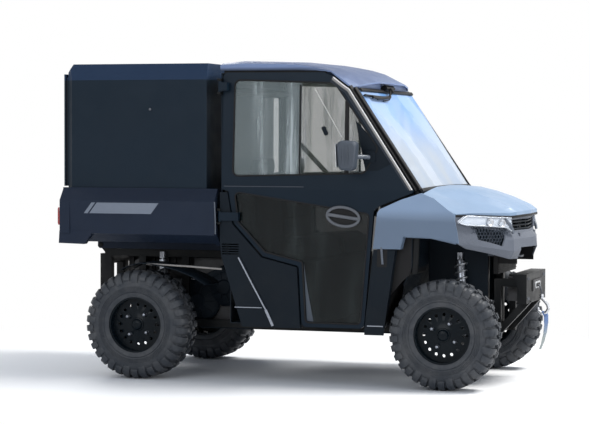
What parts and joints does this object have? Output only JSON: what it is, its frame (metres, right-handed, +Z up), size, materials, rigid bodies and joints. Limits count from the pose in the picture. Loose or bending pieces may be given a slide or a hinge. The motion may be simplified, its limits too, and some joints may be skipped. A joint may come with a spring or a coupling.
{
  "type": "side by side utility vehicle",
  "caption": "Compact off-road utility vehicle with a hard cab, dump bed with a tall closed cargo box, front winch bumper and lugged tyres.",
  "frame": {"origin": "on the ground, on the centre plane, midway between the rearmost and foremost points", "axes": "+X forward, +Y to the driver's left, +Z up"},
  "size_m": [2.824, 1.6, 1.876],
  "materials": {
    "frame_paint": "satin",
    "black_plastic": "textured",
    "engine_metal": "cast",
    "shock_metal": "satin",
    "blue_plastic": "satin",
    "grey_plastic": "textured",
    "lamp": "glossy",
    "seat_cover": "woven",
    "roof_plastic": "satin",
    "glass": "clear",
    "cab_paint": "satin",
    "strap": "woven",
    "bed_plastic": "textured",
    "red_lamp": "glossy",
    "box_paint": "satin",
    "tyre": "dusty",
    "rim_paint": "gloss"
  },
  "bodies": {
    "body": {"chassis_frame": "frame_paint", "skid_plate": "black_plastic", "engine_block": "engine_metal", "suspension_arms": "frame_paint", "shock_absorbers": "shock_metal", "drivetrain": "engine_metal", "roll_cage": "frame_paint", "floor_tub": "black_plastic", "side_panels": "black_plastic", "hood": "blue_plastic", "front_fascia": "grey_plastic", "grilles": "black_plastic", "headlamps": "lamp", "fenders": "blue_plastic", "dashboard": "black_plastic", "seat_cushions": "seat_cover", "seat_backs": "seat_cover", "roof": "roof_plastic", "cab_glass": "glass", "cab_back": "cab_paint", "winch_bumper": "frame_paint", "winch": "engine_metal", "tow_strap": "strap"},
    "knuckle_left": {"knuckle_left": "engine_metal"},
    "knuckle_right": {"knuckle_right": "engine_metal"},
    "wheel_front_left": {"tyre_front_left": "tyre", "rim_front_left": "rim_paint"},
    "wheel_front_right": {"tyre_front_right": "tyre", "rim_front_right": "rim_paint"},
    "wheel_rear_left": {"tyre_rear_left": "tyre", "rim_rear_left": "rim_paint"},
    "wheel_rear_right": {"tyre_rear_right": "tyre", "rim_rear_right": "rim_paint"},
    "steering_wheel": {"steering_wheel": "black_plastic"},
    "door_left": {"door_left": "cab_paint", "door_glass_left": "glass", "door_fittings_left": "black_plastic"},
    "door_right": {"door_right": "cab_paint", "door_glass_right": "glass", "door_fittings_right": "black_plastic"},
    "bed": {"bed_tub": "bed_plastic", "tail_lamps": "red_lamp", "cargo_box": "box_paint"},
    "tailgate": {"tailgate": "bed_plastic"},
    "hatch": {"box_hatch": "box_paint"}
  },
  "joints": [
    {"name": "steer_left", "type": "hinge", "parent": "body", "child": "knuckle_left", "pos_m": [0.952, 0.51, 0.313], "axis": [0, 0, 1], "range_deg": [-28, 28]},
    {"name": "steer_right", "type": "hinge", "parent": "body", "child": "knuckle_right", "pos_m": [0.952, -0.51, 0.313], "axis": [0, 0, 1], "range_deg": [-29, 29]},
    {"name": "spin_front_left", "type": "hinge", "parent": "knuckle_left", "child": "wheel_front_left", "pos_m": [0.952, 0.607, 0.313], "axis": [0, 1, 0], "continuous": true},
    {"name": "spin_rear_left", "type": "hinge", "parent": "body", "child": "wheel_rear_left", "pos_m": [-0.902, 0.585, 0.32], "axis": [0, 1, 0], "continuous": true},
    {"name": "spin_front_right", "type": "hinge", "parent": "knuckle_right", "child": "wheel_front_right", "pos_m": [0.952, -0.607, 0.313], "axis": [0, 1, 0], "continuous": true},
    {"name": "spin_rear_right", "type": "hinge", "parent": "body", "child": "wheel_rear_right", "pos_m": [-0.902, -0.585, 0.32], "axis": [0, 1, 0], "continuous": true},
    {"name": "steering_turn", "type": "hinge", "parent": "body", "child": "steering_wheel", "pos_m": [0.43, 0.3, 1.075], "axis": [-0.8562, 0, 0.5167], "range_deg": [-260, 260]},
    {"name": "door_left_swing", "type": "hinge", "parent": "body", "child": "door_left", "pos_m": [-0.386, 0.662, 1.125], "axis": [0, 0, 1], "range_deg": [0, 75]},
    {"name": "door_right_swing", "type": "hinge", "parent": "body", "child": "door_right", "pos_m": [-0.386, -0.662, 1.125], "axis": [0, 0, -1], "range_deg": [0, 75]},
    {"name": "bed_tilt", "type": "hinge", "parent": "body", "child": "bed", "pos_m": [-1.318, 0, 0.764], "axis": [0, -1, 0], "range_deg": [0, 40]},
    {"name": "tailgate_drop", "type": "hinge", "parent": "bed", "child": "tailgate", "pos_m": [-1.37, 0, 0.85], "axis": [0, -1, 0], "range_deg": [0, 90]},
    {"name": "hatch_lift", "type": "hinge", "parent": "bed", "child": "hatch", "pos_m": [-1.402, 0, 1.815], "axis": [0, 1, 0], "range_deg": [0, 90]}
  ],
  "couplings": [
    {"joint": "steer_right", "follows": "steer_left", "ratio": 1},
    {"joint": "steering_turn", "follows": "steer_left", "ratio": 9}
  ]
}
